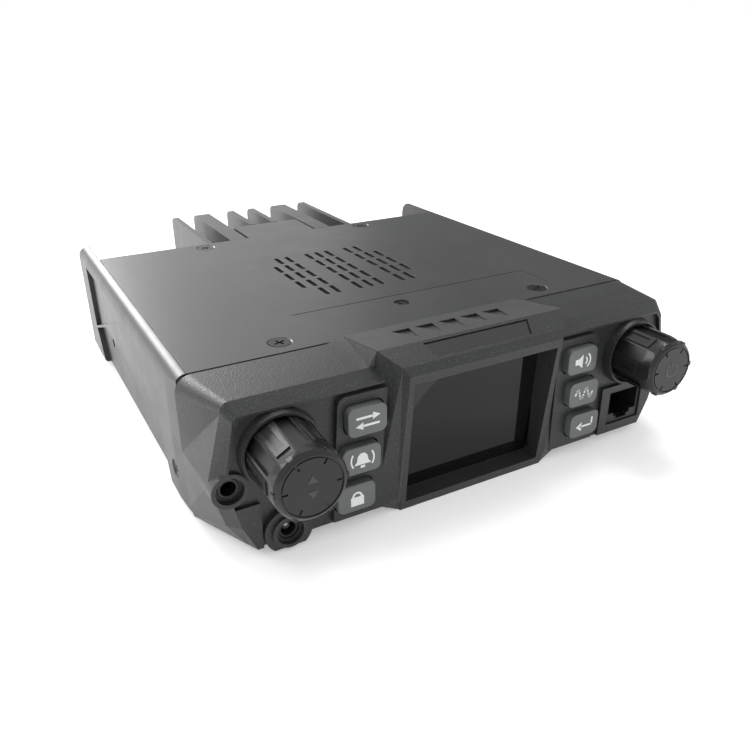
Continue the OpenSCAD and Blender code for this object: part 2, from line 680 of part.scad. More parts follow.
// Board behind the front panel. Its upper edge is cut away for the cover bosses.
module control_board() color(green) place() {
    difference() {
        slab_y([[-control_x, control_low + 4], [-control_x + 4, control_low], [control_x - 4, control_low],
            [control_x, control_low + 4], [control_x, control_high - 3], [control_x - 3, control_high],
            [-control_x + 3, control_high], [-control_x, control_high - 3]], -control_front, -control_d);
        for (p = control_screw_places()) bar_y(p[0], p[1], screw_core + 0.3, -control_front - 1, 0, 24);
    }
}

module control_board_screws() color(steel) place() {
    for (p = control_screw_places()) {
        bar_y(p[0], p[1], screw_core - tiny, -control_front - 6, -control_d + 0.5, 24);
        bar_y(p[0], p[1], 1.9, -control_d, -control_d + 1.2, 32);
    }
}

switch_h = 1.6;
key_foot = control_front + switch_h + key_travel + fit;

module key_switches() color(steel) place() {
    for (row = [0:2]) both_sides() translate([key_x(row), -control_front, key_z(row)]) {
        block([-3, -switch_h + 0.5, -3], [3, 0, 3]);
        rotate([90, 0, 0]) cylinder(r = 1.6, h = switch_h, $fn = 32);
    }
}

// Key cap with a flange behind the panel and a foot over its switch.
module key_cap(row) {
    translate([0, -key_foot - 2, 0]) rotate([90, 0, 0])
        linear_extrude(face_d + key_out - key_foot - 2) key_outline(row, 0);
    translate([0, -back_d + key_travel + 1.4, 0]) rotate([90, 0, 0]) linear_extrude(1.2) key_outline(row, 0.9);
    bar_y(key_x(row), key_z(row), 1.4, -key_foot - 2.5, -key_foot, 32);
}

module key_left_top() color(key_grey) place() mirror([1, 0, 0]) key_cap(0);
module key_left_middle() color(key_grey) place() mirror([1, 0, 0]) key_cap(1);
module key_left_bottom() color(key_grey) place() mirror([1, 0, 0]) key_cap(2);
module key_right_top() color(key_grey) place() key_cap(0);
module key_right_middle() color(key_grey) place() key_cap(1);
module key_right_bottom() color(key_grey) place() key_cap(2);

// ---- Knobs ----

bush_r = 4.4;
encoder_l = 6;
bush_end = face_d - 0.2;         // seam to the front end of a bush
shaft_back = control_front + 3.6;
function shaft_end(length) = knob_back + length - 2.6;
plunger_r = 2.2;

// Encoder can with its bush: the shaft runs in the bush, and behind it is room for the push plunger.
module encoder(push) {
    difference() {
        union() {
            block([-5.8, -control_front - encoder_l, -5.8], [5.8, -control_front, 5.8]);
            bar_y(0, 0, bush_r, -bush_end, -control_front, 48);
        }
        bar_y(0, 0, shaft_r + shaft_gap, -bush_end - 1, -shaft_back + 0.3 + push, 48);
        if (push > 0) bar_y(0, 0, plunger_r + shaft_gap, -shaft_back - 1, -control_front - 0.6, 48);
    }
}

// Shaft of a knob of a given length.
module shaft(length) {
    bar_y(0, 0, shaft_r, -shaft_end(length), -shaft_back, 48);
}

lug_count = 6;
pad_back = face_d + collar_h + push_travel + fit;

cap_l = 4.2;

// Knob: twelve flat sides behind a rim, every second one a sunk window and the others raised pads.
module knob(r, length) {
    front = -knob_back - length;
    difference() {
        intersection() {
            rotate([90, 0, 0]) translate([0, 0, knob_back]) rotate([0, 0, 15])
                cylinder(r = r / cos(15) - 0.02, h = length, $fn = 12);
            translate([0, -knob_back, 0]) rotate([90, 0, 0]) rotate_extrude($fn = 72)
                polygon([[0, 0], [r - 0.6, 0], [r + 0.2, 0.8], [r + 0.2, length - 2],
                    [r, length - 1], [r - 0.6, length - 0.25], [r - 1, length], [0, length]]);
        }
        // Sunk side windows.
        for (i = [0:lug_count - 1]) rotate([0, i * 60, 0])
            block([-1.7, front + cap_l, r - 0.7], [1.7, 1 - knob_back, r + 2]);
        // Ring groove and radial marks of the front, and the blind shaft hole.
        translate([0, front + 0.3, 0]) rotate([90, 0, 0]) difference() {
            cylinder(r = r - 1.3, h = 2, $fn = 64);
            translate([0, 0, -1]) cylinder(r = r - 1.65, h = 4, $fn = 64);
        }
        for (i = [0:lug_count - 1]) rotate([0, 30 + i * 60, 0])
            block([-0.25, front - 1, r - 2.9], [0.25, front + 0.35, r - 1.5]);
        bar_y(0, 0, shaft_r, -shaft_end(length), -knob_back + 1, 48);
    }
    // Raised pads with a sunk tongue, and a lug over each at the front rim.
    for (i = [0:lug_count - 1]) rotate([0, 30 + i * 60, 0]) {
        difference() {
            block([-1.75, front + cap_l, r - 0.8], [1.75, -pad_back, r + 0.35]);
            block([-0.95, front + cap_l + 1.4, r - 0.15], [0.95, -knob_back, r + 1]);
        }
        block([-0.6, front + 0.5, r - 1.2], [0.6, front + 1.8, r + 0.2]);
    }
}

module channel_encoder() color(steel) place() translate([-knob_x, 0, knob_z]) encoder(0);
module channel_shaft() color(steel) place() translate([-knob_x, 0, knob_z]) shaft(channel_knob_l);
module channel_knob() color(dark) place() translate([-knob_x, 0, knob_z]) knob(channel_knob_r, channel_knob_l);
module power_encoder() color(steel) place() translate([knob_x, 0, knob_z]) encoder(push_travel);
module power_shaft() color(steel) place() translate([knob_x, 0, knob_z]) shaft(power_knob_l);
module power_knob() color(dark) place() translate([knob_x, 0, knob_z]) knob(power_knob_r, power_knob_l);

module power_plunger() color(black) place() translate([knob_x, 0, knob_z])
    bar_y(0, 0, plunger_r, fit - shaft_back, -control_front - push_travel - 0.9, 48);

// ---- Front sockets ----

jack_body_r = 2.5;
jack_l = 9;

// Jack barrel with its bore, from the front end back into the panel.
module jack(front, length) {
    difference() {
        bar_y(0, 0, jack_body_r, -front, length - front, 40);
        bar_y(0, 0, jack_r, -front - 1, length - front - 1, 40);
    }
}

module data_jack() color(black) place() translate([-data_x, 0, data_z]) jack(face_d - 0.4, jack_l);
module earphone_jack() color(black) place() translate([-earphone_x, 0, earphone_z]) jack(face_d + 0.9, jack_l);

mic_front = face_d + 0.5;
mic_l = 13.2;
latch_w = 6.2;

// Eight-way modular socket: plug opening above, latch channel below.
module mic_jack() color(black) place() {
    wide = mic_w / 2 + 0.2;
    difference() {
        block([mic_x - wide, -mic_front, mic_low - 0.2], [mic_x + wide, mic_l - mic_front, mic_high + 0.2]);
        block([mic_x - mic_w / 2 + 0.6, -mic_front - 1, mic_low + 2.6], [mic_x + mic_w / 2 - 0.6, mic_l - mic_front - 1.2, mic_high - 0.5]);
        block([mic_x - latch_w / 2, -mic_front - 1, mic_low + 1.5], [mic_x + latch_w / 2, mic_l - mic_front - 4, mic_low + 4]);
        block([mic_x - 2, -mic_front - 1, mic_low + 0.5], [mic_x + 2, mic_l - mic_front - 4, mic_low + 2.5]);
    }
}

module mic_contacts() color(gold) place() {
    for (i = [0:7]) translate([mic_x + (i - 3.5) * 1.02, -mic_front + 3, mic_high - 0.5]) {
        block([-0.2, 0, -0.35], [0.2, 8, 0]);
        rotate([-13, 0, 0]) block([-0.2, 0, -0.3], [0.2, 7, 0]);
    }
}

// ---- Inside ----

board_notch_r = 3.4;

module main_board() color(green) place() {
    difference() {
        block([-board_x, board_y0, board_z], [board_x, board_y1, board_z + board_t]);
        for (p = board_screw_places()) translate([p[0], p[1], 0]) cylinder(r = 1.3, h = body_h, $fn = 24);
        block([-pedestal_w - 0.4, pedestal_y0 - 0.4, 0], [pedestal_w + 0.4, pedestal_y1 + 0.4, body_h]);
    }
}

module main_board_screws() color(steel) place() {
    for (p = board_screw_places()) translate([p[0], p[1], board_z + board_t]) {
        cylinder(r = 2.2, h = 1.4, $fn = 32);
        translate([0, 0, -5]) cylinder(r = screw_core - tiny, h = 5.4, $fn = 24);
    }
}

shield_h = 5.5;

// Open-bottomed shielding can over the radio-frequency section.
module rf_shield() color(steel) place() {
    low = board_z + board_t;
    difference() {
        block([-24, board_y0 + 12, low], [24, pedestal_y0 - 6, low + shield_h]);
        block([-23.4, board_y0 + 12.6, low - 1], [23.4, pedestal_y0 - 6.6, low + shield_h - 0.6]);
    }
}

// Two flanged transistors on the pedestal.
module output_transistors() color(gold) place() {
    for (s = [-1, 1]) translate([s * 14, (pedestal_y0 + pedestal_y1) / 2, pedestal_z]) {
        block([-10, -3, 0], [10, 3, 1.4]);
        block([-5, -2.8, 1.2], [5, 2.8, 4]);
    }
}

coil_y0 = board_y0 + 18;

module filter_coils() color([0.72, 0.42, 0.2]) place() {
    for (k = [0:2]) translate([board_x - 14, coil_y0 + k * 12, board_z + board_t + 3.2]) rotate([0, 90, 0])
        rotate_extrude($fn = 32) translate([2.2, 0]) square([1, 6], center = true);
}

module capacitors() color(black) place() {
    for (k = [0:2]) translate([-board_x + 14, coil_y0 + k * 11, board_z + board_t])
        cylinder(r = 4, h = 11, $fn = 40);
}

flex_w = 16;
flex_t = 0.3;
flex_z = board_z + board_t;

// Flexible strip from the control board down to the main board.
module panel_flex() color([0.75, 0.5, 0.2]) place() {
    drop = 9.4;
    translate([6 - flex_w / 2 + 12, 0, 0]) slab_x([[1.2 - control_d, flex_z + drop], [2 - control_d + 5, flex_z + drop],
        [2 - control_d + 9, flex_z + 1.2], [board_y0 + 1, flex_z + 1.2], [board_y0 + 1, flex_z + 1.2 - flex_t],
        [2 - control_d + 8.8, flex_z + 1.2 - flex_t], [2 - control_d + 4.8, flex_z + drop - flex_t],
        [1.2 - control_d, flex_z + drop - flex_t]], 0, flex_w);
}

module flex_sockets() color("ivory") place() {
    translate([18, 0, 0]) {
        difference() {
            block([-10, -control_d, flex_z + 7.6], [10, 3 - control_d, flex_z + 11]);
            block([-flex_w / 2 - 0.1, 1 - control_d, flex_z + 9.4 - flex_t - 0.02], [flex_w / 2 + 0.1, 4 - control_d, flex_z + 9.42]);
        }
        difference() {
            block([-10, board_y0 + 0.2, flex_z], [10, board_y0 + 4, flex_z + 2.4]);
            block([-flex_w / 2 - 0.1, board_y0, flex_z + 1.18 - flex_t], [flex_w / 2 + 0.1, board_y0 + 1.3, flex_z + 1.22]);
        }
    }
}

speaker_top = body_h - cover_t - 0.1;
basket_h = 9;
magnet_r = 10.5;
magnet_h = 5;
gasket_t = 1;

module speaker_gasket() color(black) place() {
    translate([0, vent_y, speaker_top - gasket_t]) difference() {
        cylinder(r = speaker_r, h = gasket_t, $fn = 72);
        translate([0, 0, -1]) cylinder(r = speaker_r - 2, h = gasket_t + 2, $fn = 72);
    }
}

module speaker_basket() color(steel) place() {
    low = speaker_top - gasket_t - basket_h;
    translate([0, vent_y, low]) rotate_extrude($fn = 72) polygon([[magnet_r - 4, 0], [magnet_r + 1, 0],
        [speaker_r - 2, basket_h - 1], [speaker_r, basket_h - 1], [speaker_r, basket_h], [speaker_r - 2.6, basket_h],
        [magnet_r + 0.6, 1], [magnet_r - 4, 1]]);
}

module speaker_cone() color([0.12, 0.12, 0.12]) place() {
    low = speaker_top - gasket_t - basket_h;
    translate([0, vent_y, low]) rotate_extrude($fn = 72) polygon([[0, 4.4], [5, 4.4], [speaker_r - 3.4, basket_h - 0.7],
        [speaker_r - 3.4, basket_h - 0.2], [5, 5], [0, 5]]);
}

module speaker_magnet() color(grey) place() {
    translate([0, vent_y, speaker_top - gasket_t - basket_h - magnet_h - 0.02]) cylinder(r = magnet_r, h = magnet_h, $fn = 64);
}

// Two clips under the speaker's rim.
module speaker_clamps() color(steel) place() {
    low = speaker_top - gasket_t - 2;
    for (s = [-1, 1]) translate([s * (speaker_r + 1), vent_y, 0]) {
        difference() {
            block([-2.4, -4, low], [2.4, 4, speaker_top]);
            translate([-s * (speaker_r + 1), 0, low + 0.9]) cylinder(r = speaker_r + 0.1, h = body_h, $fn = 72);
        }
    }
}

// ---- Fan ----

hub_r = 5.4;
blade_r = fan_bore - 0.5;
pin_r = 0.8;

module fan_frame() color(black) place() translate([0, fan_y0, fan_z]) {
    half = fan_w / 2;
    difference() {
        slab_y(round_rect(-half, half, -half, half, 2, 4), 0, fan_d);
        bar_y(0, 0, fan_bore, -1, fan_d - 1.4, 72);
        difference() {
            bar_y(0, 0, fan_bore, fan_d - 2, fan_d + 1, 72);
            bar_y(0, 0, hub_r, fan_d - 3, fan_d + 2, 48);
            for (a = [90, 210, 330]) rotate([0, a, 0]) block([0, fan_d - 3, -0.9], [fan_w, fan_d + 2, 0.9]);
        }
        for (sx = [-1, 1]) for (sz = [-1, 1]) bar_y(sx * fan_hole, sz * fan_hole, screw_core + 0.3, -1, fan_d + 1, 24);
        bar_y(0, 0, pin_r + shaft_gap, fan_d - 3, fan_d + 1, 32);
    }
}

module fan_rotor() color(dark) place() translate([0, fan_y0, fan_z]) {
    difference() {
        bar_y(0, 0, hub_r, 0.6, fan_d - 2, 48);
        bar_y(0, 0, hub_r - 0.8, 1.6, fan_d, 48);
    }
    bar_y(0, 0, pin_r, 1, fan_d - 0.4, 32);
    for (i = [0:6]) rotate([0, i * 360 / 7, 0]) intersection() {
        translate([0, fan_d / 2 - 0.7, 0]) rotate([0, 0, 38]) block([-4.2, -0.45, hub_r - 1], [4.2, 0.45, fan_w]);
        bar_y(0, 0, blade_r, 0.8, fan_d - 2.2, 64);
    }
}

module fan_screws() color(steel) place() {
    for (sx = [-1, 1]) for (sz = [-1, 1]) translate([sx * fan_hole, fan_y0, fan_z + sz * fan_hole]) {
        bar_y(0, 0, screw_core - tiny, -rear_t, fan_d + 0.3, 24);
        bar_y(0, 0, 1.8, fan_d, fan_d + 1.2, 32);
    }
}

// ---- Rear connectors ----

aerial_l = 12;

// Coaxial screw socket: shank through the rear wall, flange and threaded barrel.
module aerial_body() color(steel) place() translate([bay_x, cover_l, connector_z]) {
    difference() {
        union() {
            bar_y(0, 0, aerial_shank_r, -rear_t - 4, 1, 48);
            bar_y(0, 0, 10, 0, 2.4, 6);
            bar_y(0, 0, aerial_r, 2, 2.4 + aerial_l, 64);
        }
        bar_y(0, 0, 5.6, 4.4, 3 + aerial_l, 48);
        bar_y(0, 0, 4, -rear_t - 5, 5, 40);
    }
}

module aerial_insulator() color("white") place() translate([bay_x, cover_l, connector_z]) {
    difference() {
        bar_y(0, 0, 4, -rear_t - 4, 8, 40);
        bar_y(0, 0, 2.8, -rear_t - 5, 9, 40);
    }
}

module aerial_contact() color(gold) place() translate([bay_x, cover_l, connector_z]) {
    difference() {
        bar_y(0, 0, 2.8, -rear_t - 7, 9.5, 40);
        bar_y(0, 0, 2, -1, 10, 40);
    }
}

module aerial_nut() color(steel) place() translate([bay_x, cover_l - rear_t, connector_z]) {
    difference() {
        bar_y(0, 0, 9.6, -2.6, 0, 6);
        bar_y(0, 0, aerial_shank_r, -3, 1, 48);
    }
}

// Supply socket with a flange on the outside of the rear wall.
module power_inlet() color(black) place() translate([-bay_x, cover_l, connector_z]) {
    difference() {
        union() {
            block([-inlet_w / 2, -rear_t - 3, -inlet_h / 2], [inlet_w / 2, 8, inlet_h / 2]);
            block([-inlet_w / 2 - 2, 0, -inlet_h / 2 - 2], [inlet_w / 2 + 2, 1.6, inlet_h / 2 + 2]);
        }
        block([-inlet_w / 2 + 1.2, 0.5, -inlet_h / 2 + 1.2], [inlet_w / 2 - 1.2, 9, inlet_h / 2 - 1.2]);
        for (s = [-1, 1]) block([s * 3 - 0.9, -rear_t - 4, -1.6], [s * 3 + 0.9, 2, 1.6]);
    }
}

module power_blades() color(gold) place() translate([-bay_x, cover_l, connector_z]) {
    for (s = [-1, 1]) block([s * 3 - 0.5, -rear_t - 7, -1.5], [s * 3 + 0.5, 6.5, 1.5]);
}

// Jack for an outside loudspeaker, screwed into the rear wall.
module speaker_jack() color(black) place() translate([-speaker_jack_x, cover_l, speaker_jack_z]) {
    difference() {
        union() {
            bar_y(0, 0, speaker_jack_r, -rear_t - 6, 2.2, 40);
            bar_y(0, 0, speaker_jack_r + 1, 0, 1.2, 40);
        }
        bar_y(0, 0, jack_r, -rear_t - 5, 3, 40);
    }
}

chassis();
top_cover();
cover_screws();
cover_centre_screw();
side_screws();
front_panel();
hood_inlay();
display_window();
lcd_glass();
lcd_frame();
backlight();
control_board();
control_board_screws();
key_switches();
key_left_top();
key_left_middle();
key_left_bottom();
key_right_top();
key_right_middle();
key_right_bottom();
channel_encoder();
channel_shaft();
channel_knob();
power_encoder();
power_plunger();
power_shaft();
power_knob();
data_jack();
earphone_jack();
mic_jack();
mic_contacts();
main_board();
main_board_screws();
rf_shield();
output_transistors();
filter_coils();
capacitors();
panel_flex();
flex_sockets();
speaker_gasket();
speaker_basket();
speaker_cone();
speaker_magnet();
speaker_clamps();
fan_frame();
fan_rotor();
fan_screws();
aerial_body();
aerial_insulator();
aerial_contact();
aerial_nut();
power_inlet();
power_blades();
speaker_jack();
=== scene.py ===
"""Looks of the mobile transceiver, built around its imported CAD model. Metres, in the CAD's own frame."""

import json
import math

import bmesh
import bpy
from mathutils import Matrix, Vector


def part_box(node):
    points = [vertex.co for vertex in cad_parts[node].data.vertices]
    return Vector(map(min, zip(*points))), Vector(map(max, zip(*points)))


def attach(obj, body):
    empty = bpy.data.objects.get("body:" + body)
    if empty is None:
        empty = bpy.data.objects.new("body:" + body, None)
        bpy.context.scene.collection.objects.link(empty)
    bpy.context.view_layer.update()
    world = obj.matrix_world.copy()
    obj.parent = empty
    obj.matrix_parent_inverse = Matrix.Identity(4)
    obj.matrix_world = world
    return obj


MM = 0.001

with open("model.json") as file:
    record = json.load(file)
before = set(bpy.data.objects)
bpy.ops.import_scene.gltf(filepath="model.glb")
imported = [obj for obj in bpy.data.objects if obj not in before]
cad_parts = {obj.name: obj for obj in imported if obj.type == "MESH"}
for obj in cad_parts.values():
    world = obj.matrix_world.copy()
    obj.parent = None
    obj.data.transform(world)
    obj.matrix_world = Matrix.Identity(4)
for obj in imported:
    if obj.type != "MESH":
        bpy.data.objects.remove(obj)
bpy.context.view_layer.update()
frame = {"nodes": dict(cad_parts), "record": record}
nodes = frame["nodes"]

# ---------------------------------------------------------------- materials

# Finish of each slot: base colour, roughness, metallic, size and depth of the grain in mm, share of grains
# painted bright as glints (painted highlight), edge wear and specular level (shine).
FINISHES = {
    "cast_paint": dict(color=(0.034, 0.035, 0.036), rough=0.40, grain=0.24,
                       depth=0.012, glint=0.15, wear=0.30, shine=0.5),
    "cover_paint": dict(color=(0.036, 0.037, 0.038), rough=0.36, grain=0.20,
                        depth=0.012, glint=0.08, wear=0.30, shine=0.5),
    "black_steel": dict(color=(0.030, 0.030, 0.031), rough=0.30, metallic=0.7, grain=0.1,
                        depth=0.004, wear=0.8),
    "zinc_steel": dict(color=(0.55, 0.55, 0.53), rough=0.32, metallic=1.0, grain=0.1,
                       depth=0.003, wear=0.2),
    "panel_plastic": dict(color=(0.020, 0.021, 0.021), rough=0.40, grain=0.42,
                          depth=0.110, glint=0.60, wear=0.4, shine=0.4),
    "inlay_plastic": dict(color=(0.012, 0.012, 0.013), rough=0.30, grain=0.1, depth=0.002, wear=0.3),
    "window_glass": dict(color=(0.004, 0.004, 0.004), rough=0.06, grain=0.5, depth=0.0004, shine=0.28),
    "lcd_glass": dict(color=(0.10, 0.12, 0.09), rough=0.12, grain=0.3, depth=0.001),
    "sheet_steel": dict(color=(0.58, 0.58, 0.56), rough=0.34, metallic=1.0, grain=0.15,
                        depth=0.002, wear=0.2),
    "light_guide": dict(color=(0.75, 0.75, 0.72), rough=0.45, grain=0.3, depth=0.002),
    "board_laminate": dict(color=(0.02, 0.11, 0.05), rough=0.32, grain=0.4,
                           depth=0.004, glint=0.1, wear=0.2),
    "shaft_steel": dict(color=(0.60, 0.60, 0.60), rough=0.28, metallic=1.0, grain=0.1,
                        depth=0.002, wear=0.2),
    "knob_plastic": dict(color=(0.011, 0.011, 0.012), rough=0.30, grain=0.2,
                         depth=0.006, glint=0.05, wear=0.7, shine=0.35),
    "black_plastic": dict(color=(0.010, 0.010, 0.011), rough=0.38, grain=0.2,
                          depth=0.006, wear=0.4, shine=0.4),
    "jack_metal": dict(color=(0.50, 0.50, 0.48), rough=0.30, metallic=1.0, grain=0.1,
                       depth=0.003, wear=0.2),
    "contact_gold": dict(color=(0.80, 0.58, 0.25), rough=0.25, metallic=1.0, grain=0.1,
                         depth=0.002, wear=0.1),
    "ceramic_gold": dict(color=(0.70, 0.55, 0.30), rough=0.35, metallic=1.0, grain=0.2,
                         depth=0.003, wear=0.2),
    "copper_wire": dict(color=(0.60, 0.24, 0.10), rough=0.30, metallic=1.0, grain=0.3,
                        depth=0.010, wear=0.2),
    "sleeve_plastic": dict(color=(0.02, 0.02, 0.04), rough=0.30, grain=0.2, depth=0.003, wear=0.2),
    "flex_film": dict(color=(0.45, 0.20, 0.04), rough=0.25, grain=0.6, depth=0.003, wear=0.2),
    "light_plastic": dict(color=(0.70, 0.67, 0.58), rough=0.45, grain=0.2, depth=0.003, wear=0.2),
    "foam": dict(color=(0.02, 0.02, 0.02), rough=0.9, grain=0.5, depth=0.06, wear=0.2),
    "cone_paper": dict(color=(0.03, 0.03, 0.03), rough=0.8, grain=0.4, depth=0.03, wear=0.2),
    "magnet": dict(color=(0.08, 0.08, 0.085), rough=0.6, metallic=0.3, grain=0.3, depth=0.01, wear=0.4),
    "fan_plastic": dict(color=(0.014, 0.014, 0.015), rough=0.4, grain=0.2, depth=0.004, wear=0.3),
    "nickel": dict(color=(0.60, 0.58, 0.54), rough=0.24, metallic=1.0, grain=0.1,
                   depth=0.002, wear=0.2),
    "white_plastic": dict(color=(0.78, 0.77, 0.73), rough=0.4, grain=0.2, depth=0.002, wear=0.1),
    "key_rubber": dict(color=(0.098, 0.103, 0.103), rough=0.34, grain=0.25, depth=0.005, wear=0.4),
    "key_print": dict(color=(0.62, 0.64, 0.64), rough=0.50, grain=0.15, depth=0.004, wear=0.1),
    "dark_print": dict(color=(0.026, 0.026, 0.028), rough=0.30, grain=0.15, depth=0.004, wear=0.1),
}

# Widths in mm of the patterns every finish shares, and how bright their lighter parts get.
CLOUD_MM = 28
UNEVEN_MM = 9
WEAR_PATCH_MM = 1.5
WEAR_EDGE_MM = 0.35
SPECK_SHARE = 0.8
CLOUD_TONES = (0.95, 1.06)
UNEVEN_ROUGHNESS = (0.93, 1.08)
# Brightness of the grain specks painted as glints (painted highlight).
GLINT_SPECK_GAIN = 4.0
WEAR_GAIN = 2.6
BUMP_STRENGTH = 0.9


def add(tree, kind, inputs=None, **settings):
    """A shader node with its settings and unlinked inputs."""
    made = tree.nodes.new(kind)
    for name, value in settings.items():
        setattr(made, name, value)
    for name, value in (inputs or {}).items():
        made.inputs[name].default_value = value
    return made


def link(tree, *pairs):
    for output, target in pairs:
        tree.links.new(output, target)


def ramp(tree, source, low, high):
    """A clamped straight map of a value from low..high to 0..1."""
    made = add(tree, "ShaderNodeMapRange", {"From Min": low, "From Max": high})
    link(tree, (source, made.inputs["Value"]))
    return made.outputs["Result"]


def mix_color(tree, factor, first, second):
    """Mixed colour: first and second are colours or outputs."""
    made = add(tree, "ShaderNodeMix", data_type="RGBA")
    for value, slot in ((first, 6), (second, 7)):
        if isinstance(value, tuple):
            made.inputs[slot].default_value = (*value, 1)
        else:
            link(tree, (value, made.inputs[slot]))
    link(tree, (factor, made.inputs[0]))
    return made.outputs[2]


def scaled(color, gain):
    return tuple(min(1.0, c * gain) for c in color)


def noise(tree, place, size_mm, detail=2.0):
    """Noise whose features are about size_mm wide."""
    made = add(tree, "ShaderNodeTexNoise", {"Scale": 1.0 / (size_mm * MM), "Detail": detail})
    link(tree, (place, made.inputs["Vector"]))
    return made.outputs["Fac"]


def edge_factor(tree, radius_mm):
    """0 on flat faces, rising to 1 on sharp edges."""
    bevel = add(tree, "ShaderNodeBevel", {"Radius": radius_mm * MM}, samples=4)
    plain = add(tree, "ShaderNodeNewGeometry")
    dot = add(tree, "ShaderNodeVectorMath", operation="DOT_PRODUCT")
    link(tree, (bevel.outputs[0], dot.inputs[0]), (plain.outputs["Normal"], dot.inputs[1]))
    return ramp(tree, dot.outputs["Value"], 0.985, 0.80)


def finish_material(name, color, rough, grain, depth, metallic=0.0, glint=0.0, wear=0.0, shine=0.5):
    """Procedural finish: clouded colour, fine grain with specks painted bright as glints, worn edges, uneven
    roughness.
    """
    material = bpy.data.materials.new(name)
    material.use_nodes = True
    tree = material.node_tree
    shader = tree.nodes["Principled BSDF"]
    shader.inputs["Metallic"].default_value = metallic
    shader.inputs["Specular IOR Level"].default_value = shine
    place = add(tree, "ShaderNodeTexCoord").outputs["Object"]
    clouds = ramp(tree, noise(tree, place, CLOUD_MM, 4), 0.35, 0.65)
    tone = mix_color(tree, clouds, *(scaled(color, gain) for gain in CLOUD_TONES))
    fine = noise(tree, place, grain, 3)
    if glint:
        # Real grain pattern, with its specks brightened in the colour as painted glints.
        glint_specks = ramp(tree, noise(tree, place, grain * SPECK_SHARE, 2), 0.66 - 0.1 * glint, 0.74)
        tone = mix_color(tree, glint_specks, tone, scaled(color, GLINT_SPECK_GAIN))
    if wear:
        edges = edge_factor(tree, WEAR_EDGE_MM)
        patchy = ramp(tree, noise(tree, place, WEAR_PATCH_MM, 3), 0.35, 0.7)
        worn = add(tree, "ShaderNodeMath", operation="MULTIPLY")
        amount = add(tree, "ShaderNodeMath", {1: wear}, operation="MULTIPLY")
        link(tree, (edges, worn.inputs[0]), (patchy, worn.inputs[1]), (worn.outputs[0], amount.inputs[0]))
        tone = mix_color(tree, amount.outputs[0], tone, scaled(color, WEAR_GAIN))
    link(tree, (tone, shader.inputs["Base Color"]))
    low, high = (min(1.0, rough * share) for share in UNEVEN_ROUGHNESS)
    uneven = add(tree, "ShaderNodeMapRange", {"From Min": 0.3, "From Max": 0.7, "To Min": low, "To Max": high})
    link(tree, (noise(tree, place, UNEVEN_MM, 5), uneven.inputs["Value"]),
         (uneven.outputs["Result"], shader.inputs["Roughness"]))
    bump = add(tree, "ShaderNodeBump", {"Strength": BUMP_STRENGTH, "Distance": depth * MM})
    link(tree, (fine, bump.inputs["Height"]), (bump.outputs["Normal"], shader.inputs["Normal"]))
    return material


materials = {slot: finish_material(slot, **values) for slot, values in FINISHES.items()}


# Painted reflection on the display window, a paler corner outside an arc, in mm: middle, radius, softness of
# its line, and the span where it fades.
ARC_X = 1.7
ARC_Z = 13.9
ARC_R = 22.5
ARC_SOFT = 0.15
ARC_FADE = (-2.0, -5.0)
# Colour of the painted reflection on the display window.
PAINTED_REFLECTION_TONE = (0.026, 0.027, 0.027)


def paint_window_reflection(material):
    """Painted reflection: paler corner of the display window, outside an arc in its upper left."""
    tree = material.node_tree
    shader = tree.nodes["Principled BSDF"]
    tone = shader.inputs["Base Color"].links[0].from_socket
    place = add(tree, "ShaderNodeTexCoord").outputs["Object"]
    parts = add(tree, "ShaderNodeSeparateXYZ")
    flat = add(tree, "ShaderNodeCombineXYZ")
    away = add(tree, "ShaderNodeVectorMath", {1: (ARC_X * MM, 0, ARC_Z * MM)}, operation="DISTANCE")
    reflection_mask = add(tree, "ShaderNodeMath", operation="MULTIPLY")
    link(tree, (place, parts.inputs[0]), (parts.outputs["X"], flat.inputs["X"]),
         (parts.outputs["Z"], flat.inputs["Z"]), (flat.outputs[0], away.inputs[0]))
    outside = ramp(tree, away.outputs["Value"], (ARC_R - ARC_SOFT) * MM, (ARC_R + ARC_SOFT) * MM)
    left = ramp(tree, parts.outputs["X"], ARC_FADE[0] * MM, ARC_FADE[1] * MM)
    link(tree, (outside, reflection_mask.inputs[0]), (left, reflection_mask.inputs[1]))
    link(tree, (mix_color(tree, reflection_mask.outputs[0], tone, PAINTED_REFLECTION_TONE), shader.inputs["Base Color"]))


# Paints a reflection into the display window's colour.
paint_window_reflection(materials["window_glass"])
slot_of = {part["node"]: part["material_slot"] for part in frame["record"]["subparts"]}


def dress(thing, slot):
    """Gives a piece the finish of a slot as its only material."""
    thing.data.materials.clear()
    thing.data.materials.append(materials[slot])


# Edge rounding of the CAD nodes in mm, and the largest angle in degrees between faces that still shades smooth.
ROUNDING = {"chassis": 0.35, "top_cover": 0.15, "front_panel": 0.35, "channel_knob": 0.22, "power_knob": 0.22}
KEY_ROUNDING = 0.8
SMALL_ROUNDING = 0.12
SMOOTH_ANGLE = 24
PANEL_ANGLE = 15
WELD_GAP = 1e-6
FLAT_ANGLE = 0.5


